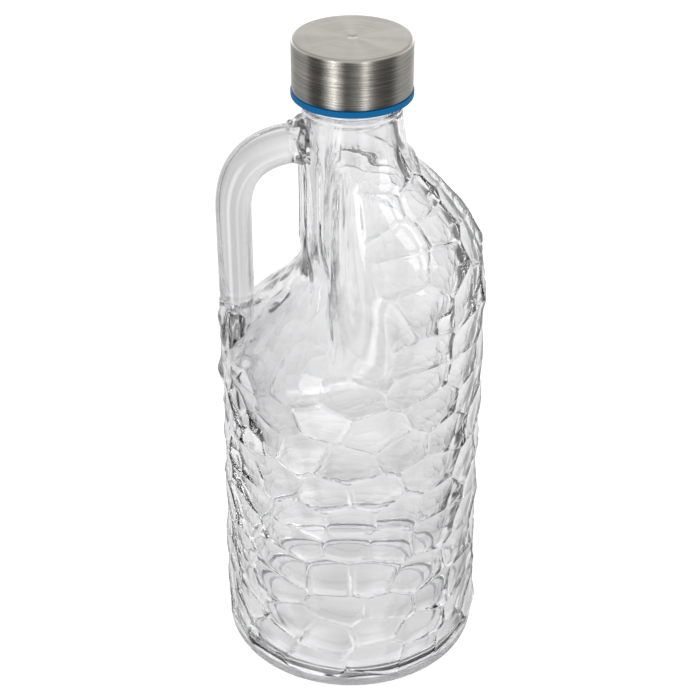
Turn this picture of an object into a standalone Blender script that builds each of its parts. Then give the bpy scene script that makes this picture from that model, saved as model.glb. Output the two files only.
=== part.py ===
"""A large glass water jug with a moulded-in handle and a stainless steel screw cap.

Metres, +Z up. The origin is on the jug's axis, at the surface that the jug stands on, and the
handle lies along -X. Four real pieces: the glass jug, and the cap's liner, steel shell and seal.
"""

import math

import bmesh
import bpy
import numpy as np

# Driving dimensions, in metres.
BODY_RADIUS = 0.056
SHOULDER_RADIUS = 0.0544
SHOULDER_START_Z = 0.1765
SHOULDER_PULL_Z = 0.2174  # height of both control points of the shoulder's curve
NECK_START_Z = 0.2525
NECK_RADIUS = 0.0197
BEAD_Z = 0.2566  # the ring round the neck just under the cap
BEAD_RADIUS = 0.0015
GLASS_WALL = 0.0040
RIM_TOP_Z = 0.2776
RIM_ROUNDING = 0.0014
FINISH_RADIUS = 0.0190  # the threaded part of the neck, at the thread's root
BORE_RADIUS = 0.0157

# The lower body and the base.
WALL_MIDDLE = (0.0549, 0.0800)  # radius, height
WALL_LOW = (0.0554, 0.0300)
HEEL_BAND_Z = 0.0110
HEEL_ROUNDING = 0.0020
STAND_INNER_RADIUS = 0.0445  # inside edge of the flat ring that the jug stands on
PUSH_UP = 0.0050  # how far the middle of the base is raised
FLOOR_TOP_Z = 0.0105
FLOOR_CROWN = 0.0020  # how far the inside floor rises from its edge to its middle
INNER_HEEL_ROUNDING = 0.0100

# The hollow behind the handle, where the wall is pressed in as far as the neck.
SCOOP_RADIUS = 0.0209
SCOOP_FLOOR_Z = 0.1470
SCOOP_FULL_Z = 0.1900
SCOOP_FLAT_ANGLE = math.radians(55)
SCOOP_EDGE_ANGLE = math.radians(95)

HANDLE_REACH = 0.0477  # from the jug's axis to the middle of the handle's upright
HANDLE_RADIUS = 0.0072
HANDLE_TOP_Z = 0.2403

# The screw thread: one right-hand start.
THREAD_LEAD = 0.0050
GLASS_RIDGE = 0.0013
GLASS_THREAD_START_Z = 0.2665
GLASS_THREAD_TURNS = 1.4
LINER_RIDGE = 0.0011
LINER_THREAD_START_Z = 0.2630
LINER_THREAD_TURNS = 1.25
THREAD_OFFSET_Z = -0.0021  # the liner's ridge bears on the underside of the glass one

# The cap.
CAP_RADIUS = 0.0235
CAP_TOP_Z = 0.2818
CAP_EDGE_ROUNDING = 0.0012
SHELL_THICKNESS = 0.0005
SHELL_BOTTOM_Z = 0.2616
BAND_RADIUS = 0.0239
BAND_BOTTOM_Z = 0.2588
BAND_ROUNDING = 0.0004
LINER_BORE_RADIUS = 0.0207
LINER_TOP_THICKNESS = 0.0015
LINER_EDGE_ROUNDING = 0.0008
SEAL_RADIUS = 0.0201
SEAL_HOLE_RADIUS = 0.0145
FIT_GAP = 0.0003  # between pieces that touch

TURNED_STEPS = 48
THREAD_STEPS = 32


def clear_scene():
    for obj in list(bpy.data.objects):
        bpy.data.objects.remove(obj)


def collection_named(name):
    made = bpy.data.collections.new(name)
    bpy.context.scene.collection.children.link(made)
    return made


def material_named(name, colour, roughness, metallic=0.0, transmission=0.0):
    made = bpy.data.materials.new(name)
    made.use_nodes = True
    shader = made.node_tree.nodes["Principled BSDF"]
    shader.inputs["Base Color"].default_value = (*colour, 1.0)
    shader.inputs["Roughness"].default_value = roughness
    shader.inputs["Metallic"].default_value = metallic
    shader.inputs["Transmission Weight"].default_value = transmission
    made.diffuse_color = (*colour, 1.0)
    return made


def arc(centre, radius, start_degrees, end_degrees, steps):
    """Points (radius from the axis, height) along an arc of an outline."""
    angles = np.radians(np.linspace(start_degrees, end_degrees, steps + 1))
    return [(centre[0] + radius * math.cos(a), centre[1] + radius * math.sin(a)) for a in angles]


def bezier(start, start_pull, end_pull, end, steps):
    corners = [np.array(p) for p in (start, start_pull, end_pull, end)]
    points = []
    for t in np.linspace(0.0, 1.0, steps + 1):
        weights = ((1 - t) ** 3, 3 * t * (1 - t) ** 2, 3 * t * t * (1 - t), t**3)
        points.append(tuple(sum(w * c for w, c in zip(weights, corners))))
    return points


def evenly(start, end, steps):
    """Points along a straight stretch, closely enough for the scoop to bend it."""
    return [tuple(p) for p in np.linspace(start, end, steps + 1)]


def turned(name, profile, collection):
    """A solid turned about Z from (radius, height) points that run down its outer side."""
    mesh = bpy.data.meshes.new(name)
    corners = [(radius, 0.0, height) for radius, height in profile]
    mesh.from_pydata(corners, [(i, i + 1) for i in range(len(corners) - 1)], [])
    obj = bpy.data.objects.new(name, mesh)
    collection.objects.link(obj)
    screw = obj.modifiers.new("turn", "SCREW")
    screw.steps = TURNED_STEPS
    screw.render_steps = TURNED_STEPS
    screw.use_merge_vertices = True
    screw.merge_threshold = 0.00001
    return obj


def as_mesh(obj):
    """The object with its modifiers, or its curve, made into a plain closed mesh."""
    graph = bpy.context.evaluated_depsgraph_get()
    mesh = bpy.data.meshes.new_from_object(obj.evaluated_get(graph))
    work = bmesh.new()
    work.from_mesh(mesh)
    bmesh.ops.remove_doubles(work, verts=work.verts, dist=0.000005)
    bmesh.ops.recalc_face_normals(work, faces=work.faces)
    work.to_mesh(mesh)
    work.free()
    made = bpy.data.objects.new(obj.name + "_mesh", mesh)
    made.matrix_world = obj.matrix_world
    for collection in obj.users_collection:
        collection.objects.link(made)
    name = obj.name
    bpy.data.objects.remove(obj)
    made.name = name
    return made


def as_helper(obj):
    obj.hide_render = True
    obj.display_type = "WIRE"
    return obj


def combine(obj, other, operation):
    step = obj.modifiers.new(other.name, "BOOLEAN")
    step.operation = operation
    step.solver = "EXACT"
    step.object = other
    as_helper(other)


def shade(obj, material):
    obj.data.materials.clear()
    obj.data.materials.append(material)
    obj.data.shade_smooth()
    obj.data.set_sharp_from_angle(angle=math.radians(35))


def eased(share):
    share = min(max(share, 0.0), 1.0)
    return share * share * (3 - 2 * share)


def press_scoop(obj, pressed_radius, drop):
    """Press the side that faces the handle in to pressed_radius, starting drop lower."""
    for vertex in obj.data.vertices:
        x, y, z = vertex.co
        radius = math.hypot(x, y)
        if radius <= pressed_radius:
            continue
        angle = abs(math.atan2(y, -x))
        around = eased((SCOOP_EDGE_ANGLE - angle) / (SCOOP_EDGE_ANGLE - SCOOP_FLAT_ANGLE))
        upward = eased((z + drop - SCOOP_FLOOR_Z) / (SCOOP_FULL_Z - SCOOP_FLOOR_Z))
        kept = 1 - (1 - pressed_radius / radius) * around * upward
        vertex.co = (x * kept, y * kept, z)


def helical_ridge(name, path_radius, ridge, start_z, start_angle, turns, collection):
    """A round-backed thread ridge that fades out at both ends."""
    count = round(turns * THREAD_STEPS)
    fade = THREAD_STEPS // 6
    curve = bpy.data.curves.new(name, "CURVE")
    curve.dimensions = "3D"
    curve.bevel_depth = ridge
    curve.bevel_resolution = 2
    curve.use_fill_caps = True
    spline = curve.splines.new("POLY")
    spline.points.add(count)
    for i, point in enumerate(spline.points):
        turned_by = 2 * math.pi * i / THREAD_STEPS
        angle = start_angle + turned_by
        height = start_z + THREAD_LEAD * turned_by / (2 * math.pi)
        point.co = (path_radius * math.cos(angle), path_radius * math.sin(angle), height, 1.0)
        point.radius = 0.35 + 0.65 * min(1.0, min(i, count - i) / fade)
    obj = bpy.data.objects.new(name, curve)
    collection.objects.link(obj)
    return as_mesh(obj)


def glass_outside(collection):
    neck_and_finish = [
        (0.0, RIM_TOP_Z),
        *arc((FINISH_RADIUS - RIM_ROUNDING, RIM_TOP_Z - RIM_ROUNDING), RIM_ROUNDING, 90, 0, 3),
        *arc((NECK_RADIUS - BEAD_RADIUS, BEAD_Z), BEAD_RADIUS, 62, -55, 4),
        (NECK_RADIUS, 0.5 * (BEAD_Z + NECK_START_Z)),
    ]
    shoulder = bezier(
        (NECK_RADIUS, NECK_START_Z),
        (NECK_RADIUS, SHOULDER_PULL_Z),
        (SHOULDER_RADIUS, SHOULDER_PULL_Z),
        (SHOULDER_RADIUS, SHOULDER_START_Z),
        20,
    )
    wall = [
        *evenly((SHOULDER_RADIUS, SHOULDER_START_Z), (WALL_MIDDLE[0], SCOOP_FLOOR_Z), 7)[1:],
        WALL_MIDDLE,
        WALL_LOW,
        (BODY_RADIUS, HEEL_BAND_Z),
    ]
    foot = [
        *arc((BODY_RADIUS - HEEL_ROUNDING, HEEL_ROUNDING), HEEL_ROUNDING, 0, -90, 4),
        *bezier(
            (STAND_INNER_RADIUS, 0.0),
            (0.92 * STAND_INNER_RADIUS, 0.6 * PUSH_UP),
            (0.56 * STAND_INNER_RADIUS, PUSH_UP),
            (0.0, PUSH_UP),
            6,
        ),
    ]
    return turned("glass_jug", neck_and_finish + shoulder + wall + foot, collection)


def glass_inside(collection):
    pull_z = SHOULDER_PULL_Z - 0.35 * GLASS_WALL
    inner_shoulder = bezier(
        (BORE_RADIUS, NECK_START_Z),
        (BORE_RADIUS, pull_z),
        (SHOULDER_RADIUS - GLASS_WALL, pull_z),
        (SHOULDER_RADIUS - GLASS_WALL, SHOULDER_START_Z),
        18,
    )
    inner_wall = [
        *evenly(inner_shoulder[-1], (WALL_MIDDLE[0] - GLASS_WALL, SCOOP_FLOOR_Z - GLASS_WALL), 8)[1:],
        (WALL_LOW[0] - GLASS_WALL, WALL_LOW[1]),
    ]
    corner_z = FLOOR_TOP_Z - FLOOR_CROWN + INNER_HEEL_ROUNDING
    inner_floor = [
        *arc((BODY_RADIUS - GLASS_WALL - INNER_HEEL_ROUNDING, corner_z), INNER_HEEL_ROUNDING, 0, -90, 6),
        (0.0, FLOOR_TOP_Z),
    ]
    above = RIM_TOP_Z + BORE_RADIUS
    profile = [(0.0, above), (BORE_RADIUS, above)]
    return turned("jug_cavity", profile + inner_shoulder + inner_wall + inner_floor, collection)


def handle_rod(collection):
    """The solid glass handle: out of the neck, over a round bend, down into the body."""
    curve = bpy.data.curves.new("handle_rod", "CURVE")
    curve.dimensions = "3D"
    curve.bevel_depth = HANDLE_RADIUS
    curve.bevel_resolution = 3
    curve.resolution_u = 9
    curve.use_fill_caps = True
    spline = curve.splines.new("BEZIER")
    # Each row: point, pull before, pull after (distance out from the axis, height), thickness.
    rows = [
        ((0.0165, HANDLE_TOP_Z), (0.0140, HANDLE_TOP_Z), (0.0200, HANDLE_TOP_Z), 1.45),
        ((0.0259, 0.2397), (0.0235, 0.2401), (0.0430, 0.2372), 1.10),
        ((HANDLE_REACH, 0.2120), (HANDLE_REACH, 0.2258), (HANDLE_REACH, 0.2000), 1.0),
        ((HANDLE_REACH, 0.1800), (HANDLE_REACH, 0.1870), (HANDLE_REACH, 0.1700), 1.0),
        ((0.0483, 0.1450), (0.0482, 0.1540), (0.0483, 0.1420), 0.85),
    ]
    spline.bezier_points.add(len(rows) - 1)
    for point, (co, before, after, thickness) in zip(spline.bezier_points, rows):
        point.handle_left_type = "FREE"
        point.handle_right_type = "FREE"
        point.co = (-co[0], 0.0, co[1])
        point.handle_left = (-before[0], 0.0, before[1])
        point.handle_right = (-after[0], 0.0, after[1])
        point.radius = thickness
    obj = bpy.data.objects.new("handle_rod", curve)
    collection.objects.link(obj)
    return as_mesh(obj)


def build_jug(parts, helpers, glass):
    jug = as_mesh(glass_outside(parts))
    press_scoop(jug, SCOOP_RADIUS, 0.0)
    cavity = as_mesh(glass_inside(helpers))
    press_scoop(cavity, SCOOP_RADIUS - GLASS_WALL, GLASS_WALL)
    thread = helical_ridge(
        "glass_thread", FINISH_RADIUS, GLASS_RIDGE, GLASS_THREAD_START_Z, 0.0, GLASS_THREAD_TURNS, helpers
    )
    combine(jug, handle_rod(helpers), "UNION")
    combine(jug, thread, "UNION")
    combine(jug, cavity, "DIFFERENCE")
    shade(jug, glass)
    return jug


def build_liner(parts, helpers, plastic):
    """The blue screw insert; its flange shows as the band under the steel."""
    outer = CAP_RADIUS - SHELL_THICKNESS - FIT_GAP
    top = CAP_TOP_Z - SHELL_THICKNESS - FIT_GAP
    band_top = SHELL_BOTTOM_Z - FIT_GAP
    profile = [
        (0.0, top),
        *arc((outer - LINER_EDGE_ROUNDING, top - LINER_EDGE_ROUNDING), LINER_EDGE_ROUNDING, 90, 0, 2),
        (outer, band_top),
        *arc((BAND_RADIUS - BAND_ROUNDING, band_top - BAND_ROUNDING), BAND_ROUNDING, 90, 0, 2),
        *arc((BAND_RADIUS - BAND_ROUNDING, BAND_BOTTOM_Z + BAND_ROUNDING), BAND_ROUNDING, 0, -90, 2),
        (LINER_BORE_RADIUS + BAND_ROUNDING, BAND_BOTTOM_Z),
        (LINER_BORE_RADIUS, BAND_BOTTOM_Z + BAND_ROUNDING),
        (LINER_BORE_RADIUS, top - LINER_TOP_THICKNESS),
        (0.0, top - LINER_TOP_THICKNESS),
    ]
    liner = as_mesh(turned("cap_liner", profile, parts))
    on_helix_z = GLASS_THREAD_START_Z + THREAD_OFFSET_Z
    start_angle = 2 * math.pi * (LINER_THREAD_START_Z - on_helix_z) / THREAD_LEAD
    thread = helical_ridge(
        "liner_thread",
        LINER_BORE_RADIUS,
        LINER_RIDGE,
        LINER_THREAD_START_Z,
        start_angle,
        LINER_THREAD_TURNS,
        helpers,
    )
    combine(liner, thread, "UNION")
    shade(liner, plastic)
    return liner


def build_shell(parts, steel):
    """The deep-drawn steel cup over the liner."""
    inner = CAP_RADIUS - SHELL_THICKNESS
    under = CAP_TOP_Z - SHELL_THICKNESS
    inner_rounding = CAP_EDGE_ROUNDING - SHELL_THICKNESS
    profile = [
        (0.0, CAP_TOP_Z),
        *arc((CAP_RADIUS - CAP_EDGE_ROUNDING, CAP_TOP_Z - CAP_EDGE_ROUNDING), CAP_EDGE_ROUNDING, 90, 0, 4),
        (CAP_RADIUS, SHELL_BOTTOM_Z),
        (inner, SHELL_BOTTOM_Z),
        *arc((inner - inner_rounding, under - inner_rounding), inner_rounding, 0, 90, 3),
        (0.0, under),
    ]
    shell = as_mesh(turned("cap_shell", profile, parts))
    shade(shell, steel)
    return shell


def build_seal(parts, silicone):
    """The flat sealing ring that the rim presses against."""
    top = CAP_TOP_Z - SHELL_THICKNESS - 2 * FIT_GAP - LINER_TOP_THICKNESS
    bottom = RIM_TOP_Z + FIT_GAP
    profile = [
        (SEAL_HOLE_RADIUS, top),
        (SEAL_RADIUS, top),
        (SEAL_RADIUS, bottom),
        (SEAL_HOLE_RADIUS, bottom),
        (SEAL_HOLE_RADIUS, top),
    ]
    seal = as_mesh(turned("cap_seal", profile, parts))
    shade(seal, silicone)
    return seal


def main():
    clear_scene()
    parts = collection_named("water_jug")
    helpers = collection_named("water_jug_cutters")
    glass = material_named("clear_glass", (0.93, 0.95, 0.95), 0.03, transmission=1.0)
    steel = material_named("brushed_steel", (0.56, 0.54, 0.51), 0.32, metallic=1.0)
    plastic = material_named("blue_plastic", (0.0, 0.142, 0.402), 0.40)
    silicone = material_named("clear_silicone", (0.80, 0.80, 0.78), 0.55)
    build_jug(parts, helpers, glass)
    build_liner(parts, helpers, plastic)
    build_shell(parts, steel)
    build_seal(parts, silicone)


main()
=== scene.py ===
"""The looks of the large water jug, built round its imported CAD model: dimpled clear glass, a brushed
steel cap with its blue liner, a floor, soft lights and the camera. Metres, +Z up, handle along -X."""
import math

import bmesh
import bpy
import numpy as np
from mathutils import Matrix, Vector


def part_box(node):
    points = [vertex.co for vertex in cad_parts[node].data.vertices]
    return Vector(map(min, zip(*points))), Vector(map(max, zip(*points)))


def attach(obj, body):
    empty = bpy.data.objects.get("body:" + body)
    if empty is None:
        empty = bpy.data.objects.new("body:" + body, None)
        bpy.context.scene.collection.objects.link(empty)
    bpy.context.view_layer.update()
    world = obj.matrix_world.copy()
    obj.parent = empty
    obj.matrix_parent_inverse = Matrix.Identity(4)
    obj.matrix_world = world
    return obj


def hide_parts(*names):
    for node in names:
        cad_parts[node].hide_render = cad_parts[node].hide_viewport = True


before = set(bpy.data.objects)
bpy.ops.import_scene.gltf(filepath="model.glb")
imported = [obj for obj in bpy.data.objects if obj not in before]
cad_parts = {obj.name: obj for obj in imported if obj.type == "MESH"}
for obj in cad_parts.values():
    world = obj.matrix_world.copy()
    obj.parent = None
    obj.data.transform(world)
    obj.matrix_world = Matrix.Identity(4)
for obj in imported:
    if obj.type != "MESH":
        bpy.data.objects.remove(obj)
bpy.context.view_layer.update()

# The jug's outline, in metres. The outside is the CAD's. Inside the base, the floor is lower here, and its
# corner squarer, than in the CAD.
BODY_RADIUS = 0.056
SHOULDER_RADIUS = 0.0544
SHOULDER_START_Z = 0.1765
SHOULDER_PULL_Z = 0.2174
NECK_START_Z = 0.2525
NECK_RADIUS = 0.0197
BEAD_Z = 0.2566
BEAD_RADIUS = 0.0015
NECK_LINES = ((0.2556, 0.00036), (0.2531, 0.00030))  # fine grooves round the neck: height, depth
NECK_LINE_WIDTH = 0.00035
GLASS_WALL = 0.0040
RIM_TOP_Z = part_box("glass_jug")[1].z
RIM_ROUNDING = 0.0014
FINISH_RADIUS = 0.0190
BORE_RADIUS = 0.0157
WALL_MIDDLE_RADIUS = 0.0549
WALL_PULLS_Z = (0.1350, 0.0600)  # the heights that shape the side's slow curve
WALL_LOW = (0.0554, 0.0300)  # radius, height
HEEL_BAND_Z = 0.0110
HEEL_ROUNDING = 0.0020
STAND_INNER_RADIUS = 0.0445
STIPPLE = 0.00030  # how rough the ring is that the jug stands on
PUSH_UP = 0.0050
FLOOR_TOP_Z = 0.0082
FLOOR_CROWN = 0.0020
INNER_HEEL_ROUNDING = 0.0035

# The hollow behind the handle.
SCOOP_RADIUS = 0.0209
SCOOP_FLOOR_Z = 0.1470
SCOOP_FULL_Z = 0.1900
SCOOP_FLAT_ANGLE = math.radians(55)
SCOOP_EDGE_ANGLE = math.radians(95)

# The handle.
HANDLE_REACH = 0.0477
HANDLE_RADIUS = 0.0072
HANDLE_WIDTH = 1.04  # its width over its depth
HANDLE_TOP_Z = 0.2403
HANDLE_STEPS = 64
HANDLE_SPACING = 0.0008
FOOT_TOP_OUT = 0.0225  # how far out the upper foot reaches, at the height of the handle's top
FOOT_LOW_Z = 0.1715  # how high the lower foot reaches, at the handle's reach
FOOT_LUMPS = 0.00075  # how lumpy the glass is where the handle joins the jug
FOOT_CREASE = 0.00035
FOOT_CREASE_WIDTH = 0.0007
FOOT_SPREAD = 0.35  # how much wider the lower foot gets

# The screw thread.
THREAD_LEAD = 0.0050
GLASS_RIDGE = 0.0013
GLASS_THREAD_START_Z = 0.2665
GLASS_THREAD_TURNS = 1.4
LINER_RIDGE = 0.0011
LINER_THREAD_START_Z = 0.2630
LINER_THREAD_TURNS = 1.25
THREAD_OFFSET_Z = -0.0021  # from the glass's helix to the liner's

# The cap.
CAP_RADIUS = 0.0235
CAP_TOP_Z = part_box("cap_shell")[1].z
CAP_EDGE_ROUNDING = 0.0012
SHELL_THICKNESS = 0.0005
SHELL_BOTTOM_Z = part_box("cap_shell")[0].z
BAND_RADIUS = 0.0239
BAND_BOTTOM_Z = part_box("cap_liner")[0].z
BAND_ROUNDING = 0.0004
LINER_BORE_RADIUS = 0.0207
LINER_TOP_THICKNESS = 0.0015
LINER_EDGE_ROUNDING = 0.0008
SEAL_RADIUS = 0.0201
SEAL_HOLE_RADIUS = 0.0145
SEAL_GROOVES = (0.0178, 0.0168)  # radii of the two fine grooves in its underside
FIT_GAP = 0.0003

# The moulded facets.
FACET_WIDTH = 0.0230
FACET_ROW = 0.0155
FACET_SHAKE = 0.30  # how far each facet is moved out of line, as a share of the spacing
FACET_STRETCH = 1.35  # how much flatter than wide the facets are drawn
FACET_BOWL = 6.8  # how hard each facet is hollowed, as height over the square of its radius, per metre
FACET_DEPTH = 0.00060
SEAM_HEIGHT = 0.00030  # the raised seam between facets
SEAM_WIDTH = 0.00050
FACET_SEED = 11
FACET_LOW_Z = 0.0055  # the plain band round the heel lies below this
FACET_TOP_Z = 0.2430
FAR_SIDE = math.radians(80)  # which way round the facets are shallowest
FAR_SHARE = 0.35
SHOULDER_DEEPER = 0.70  # how much deeper the facets are on the shoulder opposite the handle

# The smooth hollow and the wall below the handle.
HOLLOW_SIDE_LOW = 104  # degrees from the handle to the hollow's edge, low down and high up
HOLLOW_SIDE_HIGH = 90
# The folds in each flank of the hollow: degrees from the handle, degrees that the fold swings away, the
# height where the swing starts and the drop that it takes, and the height where the fold ends.
FOLDS = ((18, 29, 0.1970, 0.0240, 0.1700), (43, 27, 0.2050, 0.0400, 0.1610))
FOLD_TOP_Z = 0.2380
FOLD_HEIGHT = 0.00100
FOLD_WIDTH = 0.0008
HOLLOW_WAVES = 0.00020  # how uneven the hollow is
HOLLOW_STREAKS = 0.00020  # the upright streaks where the hollow meets the facets
INSIDE_WAVES = 0.00018  # the slow waves of the inside
HOLLOW_CREASE = 0.00060  # the raised line where the facets stop at the smooth hollow
ROOT_LUMPS = 0.00055  # how uneven the wall is below the handle
ROOT_RUMPLES = 0.00055  # the finer unevenness close to the handle's foot

# How finely the meshes are divided: steps round, and the spacing down the outside of the glass.
GLASS_STEPS = 320
GLASS_SPACING = 0.00112
CAVITY_STEPS = 120
CAP_STEPS = 144


def eased(share):
    share = np.clip(share, 0.0, 1.0)
    return share * share * (3 - 2 * share)


def between(value, low, low_fade, high, high_fade):
    """1 between low and high, but for a fade inside each end, and 0 outside."""
    return eased((value - low) / low_fade) * eased((high - value) / high_fade)


# Outlines: lists of (radius, height) points.


def arc(centre, radius, start_degrees, end_degrees, steps):
    angles = np.radians(np.linspace(start_degrees, end_degrees, steps + 1))
    return [(centre[0] + radius * math.cos(a), centre[1] + radius * math.sin(a)) for a in angles]


def bezier(start, start_pull, end_pull, end, steps):
    t = np.linspace(0.0, 1.0, steps + 1)[:, None]
    start, start_pull, end_pull, end = (np.array(p) for p in (start, start_pull, end_pull, end))
    curve = (1 - t) ** 3 * start + 3 * t * (1 - t) ** 2 * start_pull
    curve = curve + 3 * t * t * (1 - t) * end_pull + t**3 * end
    return [tuple(p) for p in curve]


def resampled(points, spacing):
    """The same outline with evenly spaced points."""
    points = np.array(points)
    run = np.concatenate([[0.0], np.cumsum(np.linalg.norm(np.diff(points, axis=0), axis=1))])
    at = np.linspace(0.0, run[-1], max(2, round(run[-1] / spacing) + 1))
    return np.column_stack([np.interp(at, run, points[:, k]) for k in range(points.shape[1])])


# Meshes.


def mesh_object(name, points, faces):
    mesh = bpy.data.meshes.new(name)
    mesh.from_pydata(np.asarray(points).tolist(), [], faces)
    mesh.update()
    obj = bpy.data.objects.new(name, mesh)
    bpy.context.scene.collection.objects.link(obj)
    return obj


def grid_solid(name, rings, top, bottom, on_ridge=None):
    """A closed solid from rings of points that run downwards, with a point at each end.

    A quad is split along the diagonal that joins two points on a ridge, where on_ridge marks such points.
    """
    count, steps, _ = rings.shape
    here = np.arange(count * steps).reshape(count, steps)
    beside = np.roll(here, -1, axis=1)
    a, b, c, d = (k.ravel() for k in (here[:-1], here[1:], beside[1:], beside[:-1]))
    if on_ridge is None:
        faces = np.column_stack([a, b, c, d]).tolist()
    else:
        flag = on_ridge.ravel()
        other = (flag[b] & flag[d] & ~(flag[a] & flag[c]))[:, None]
        first = np.where(other, np.column_stack([a, b, d]), np.column_stack([a, b, c]))
        second = np.where(other, np.column_stack([b, c, d]), np.column_stack([a, c, d]))
        faces = np.concatenate([first, second]).tolist()
    over, under = count * steps, count * steps + 1
    faces += [(over, int(j), int(k)) for j, k in zip(here[0], beside[0])]
    faces += [(under, int(k), int(j)) for j, k in zip(here[-1], beside[-1])]
    return mesh_object(name, np.concatenate([rings.reshape(-1, 3), [top], [bottom]]), faces)


def turned(name, outline, steps):
    """A mesh turned about Z from (radius, height) points.

    An outline that starts on the axis also ends on it; any other is taken as closed, and makes a ring.
    """
    outline = np.array(outline)
    theta = around(steps)
    rings = np.empty((len(outline), steps, 3))
    rings[:, :, 0] = outline[:, 0:1] * np.cos(theta)
    rings[:, :, 1] = outline[:, 0:1] * np.sin(theta)
    rings[:, :, 2] = outline[:, 1:2]
    if outline[0, 0] < 1e-6:
        return grid_solid(name, rings[1:-1], rings[0, 0], rings[-1, 0])
    here = np.arange(len(outline) * steps).reshape(-1, steps)
    below = np.roll(here, -1, axis=0)
    faces = np.stack([here, below, np.roll(below, -1, axis=1), np.roll(here, -1, axis=1)], axis=2)
    return mesh_object(name, rings.reshape(-1, 3), faces.reshape(-1, 4).tolist())


def facing_out(obj):
    """Turns the faces of a closed mesh outwards."""
    work = bmesh.new()
    work.from_mesh(obj.data)
    bmesh.ops.recalc_face_normals(work, faces=work.faces)
    work.to_mesh(obj.data)
    work.free()
    return obj


def combine(obj, other, operation):
    """Joins other to obj, or cuts it out, and removes other."""
    step = obj.modifiers.new("join", "BOOLEAN")
    step.operation = operation
    step.solver = "MANIFOLD"
    step.object = other
    graph = bpy.context.evaluated_depsgraph_get()
    mesh = bpy.data.meshes.new_from_object(obj.evaluated_get(graph))
    obj.modifiers.clear()
    obj.data = mesh
    bpy.data.objects.remove(other)


def finished(obj, name, material, sharp_degrees, body, cad_node):
    """Names and shades a piece, ties it to its CAD body, and hides the CAD part that it stands in for."""
    obj.name = name
    obj.data.name = name
    obj.data.materials.clear()
    obj.data.materials.append(material)
    obj.data.shade_smooth()
    obj.data.set_sharp_from_angle(angle=math.radians(sharp_degrees))
    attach(obj, body)
    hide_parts(cad_node)


# The glass.


def wall_outline():
    """Shoulder and side of the jug, from the neck down to the heel band."""
    shoulder = bezier(
        (NECK_RADIUS, NECK_START_Z),
        (NECK_RADIUS, SHOULDER_PULL_Z),
        (SHOULDER_RADIUS, SHOULDER_PULL_Z),
        (SHOULDER_RADIUS, SHOULDER_START_Z),
        60,
    )
    side = bezier(
        shoulder[-1],
        (WALL_MIDDLE_RADIUS, WALL_PULLS_Z[0]),
        (WALL_MIDDLE_RADIUS, WALL_PULLS_Z[1]),
        WALL_LOW,
        30,
    )
    return shoulder + side[1:] + [(BODY_RADIUS, HEEL_BAND_Z)]


def outer_outline():
    """The outside of the jug from the rim down, in stretches that each have their own fineness."""
    lip = arc((FINISH_RADIUS - RIM_ROUNDING, RIM_TOP_Z - RIM_ROUNDING), RIM_ROUNDING, 90, 0, 8)
    bead = arc((NECK_RADIUS - BEAD_RADIUS, BEAD_Z), BEAD_RADIUS, 62, -55, 12)
    bead = [
        (FINISH_RADIUS, bead[0][1] + 0.0006),
        *bead,
        (NECK_RADIUS - 0.0001, 0.5 * (BEAD_Z + NECK_START_Z)),
        (NECK_RADIUS, NECK_START_Z + 0.0002),
    ]
    heel = arc((BODY_RADIUS - HEEL_ROUNDING, HEEL_ROUNDING), HEEL_ROUNDING, 0, -90, 8)
    push_up = bezier(
        (STAND_INNER_RADIUS, 0.0),
        (0.92 * STAND_INNER_RADIUS, 0.6 * PUSH_UP),
        (0.56 * STAND_INNER_RADIUS, PUSH_UP),
        (0.0010, PUSH_UP),
        20,
    )
    return np.concatenate(
        [
            resampled([(BORE_RADIUS + 0.0008, RIM_TOP_Z), lip[0]], 0.0007)[:-1],
            resampled(lip, 0.0004)[:-1],
            resampled([lip[-1], bead[0]], 0.0004)[:-1],
            resampled(bead, 0.0003)[:-1],
            resampled([bead[-1]] + wall_outline(), GLASS_SPACING)[:-1],
            resampled([(BODY_RADIUS, HEEL_BAND_Z)] + heel, 0.0005)[:-1],
            resampled([heel[-1], push_up[0]], 0.0011)[:-1],
            resampled(push_up, 0.0025),
        ]
    )


def inner_outline():
    """The inside of the jug, from above the mouth down to the middle of the floor."""
    mouth = [
        (BORE_RADIUS + 0.0010, RIM_TOP_Z + 0.0060),
        (BORE_RADIUS + 0.0010, RIM_TOP_Z + 0.0001),
        *arc((BORE_RADIUS + 0.0010, RIM_TOP_Z - 0.0010), 0.0010, 92, 180, 6),
        (BORE_RADIUS, BEAD_Z),
    ]
    pull_z = SHOULDER_PULL_Z - 0.35 * GLASS_WALL
    shoulder = bezier(
        (BORE_RADIUS, NECK_START_Z),
        (BORE_RADIUS, pull_z),
        (SHOULDER_RADIUS - GLASS_WALL, pull_z),
        (SHOULDER_RADIUS - GLASS_WALL, SHOULDER_START_Z),
        60,
    )
    side = bezier(
        shoulder[-1],
        (WALL_MIDDLE_RADIUS - GLASS_WALL, WALL_PULLS_Z[0]),
        (WALL_MIDDLE_RADIUS - GLASS_WALL, WALL_PULLS_Z[1]),
        (WALL_LOW[0] - GLASS_WALL, WALL_LOW[1]),
        30,
    )
    corner_radius = BODY_RADIUS - GLASS_WALL - INNER_HEEL_ROUNDING
    corner_z = FLOOR_TOP_Z - FLOOR_CROWN + INNER_HEEL_ROUNDING
    heel = arc((corner_radius, corner_z), INNER_HEEL_ROUNDING, 0, -88, 12)
    return np.concatenate(
        [
            resampled(mouth, 0.0006)[:-1],
            resampled([mouth[-1]] + shoulder + side[1:] + heel, 0.0024)[:-1],
            resampled([heel[-1], (0.0010, FLOOR_TOP_Z)], 0.0040),
        ]
    )


def around(steps):
    return np.arange(steps) * 2 * math.pi / steps


def handle_angle(theta):
    """How far round from the handle, 0 to pi."""
    return np.abs((theta % (2 * math.pi)) - math.pi)


def outline_normals(outline):
    """The way outwards at each point of an outline that runs downwards."""
    along = np.gradient(outline, axis=0)
    along /= np.linalg.norm(along, axis=1)[:, None]
    return np.column_stack([-along[:, 1], along[:, 0]])


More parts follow.
